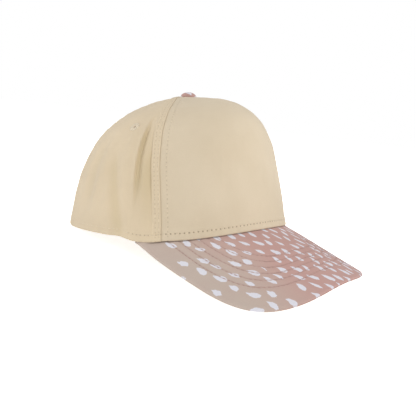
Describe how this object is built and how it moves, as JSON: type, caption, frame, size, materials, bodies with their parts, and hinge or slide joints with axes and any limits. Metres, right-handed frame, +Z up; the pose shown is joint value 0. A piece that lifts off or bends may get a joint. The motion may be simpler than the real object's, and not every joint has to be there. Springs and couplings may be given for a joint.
{
  "type": "trucker hat",
  "caption": "Soft cotton cap with a tall front panel, a squarish arched visor in a dabbed print, a covered button, sewn eyelets and a rear arch with a strap.",
  "frame": {"origin": "middle of the footprint on the surface that the hat rests on", "axes": "+X to the wearer's left, -Y the way the visor points, +Z up from the surface"},
  "size_m": [0.175, 0.2656, 0.1271],
  "materials": {
    "cream_twill": "matte cotton twill, cream",
    "printed_cotton": "matte cotton in dusty rose to tan with pale lavender dabs",
    "cream_thread": "satin-stitched thread, cream",
    "cream_tape": "matte cotton tape, cream"
  },
  "bodies": {
    "root": {"front_panel": "cream_twill", "side_panel_right": "cream_twill", "side_panel_left": "cream_twill", "back_panel_right": "cream_twill", "back_panel_left": "cream_twill", "visor": "printed_cotton", "top_button": "printed_cotton", "sweatband": "cream_tape", "back_strap": "cream_tape", "eyelet_side_right": "cream_thread", "eyelet_side_left": "cream_thread", "eyelet_back_right": "cream_thread", "eyelet_back_left": "cream_thread"}
  },
  "joints": []
}
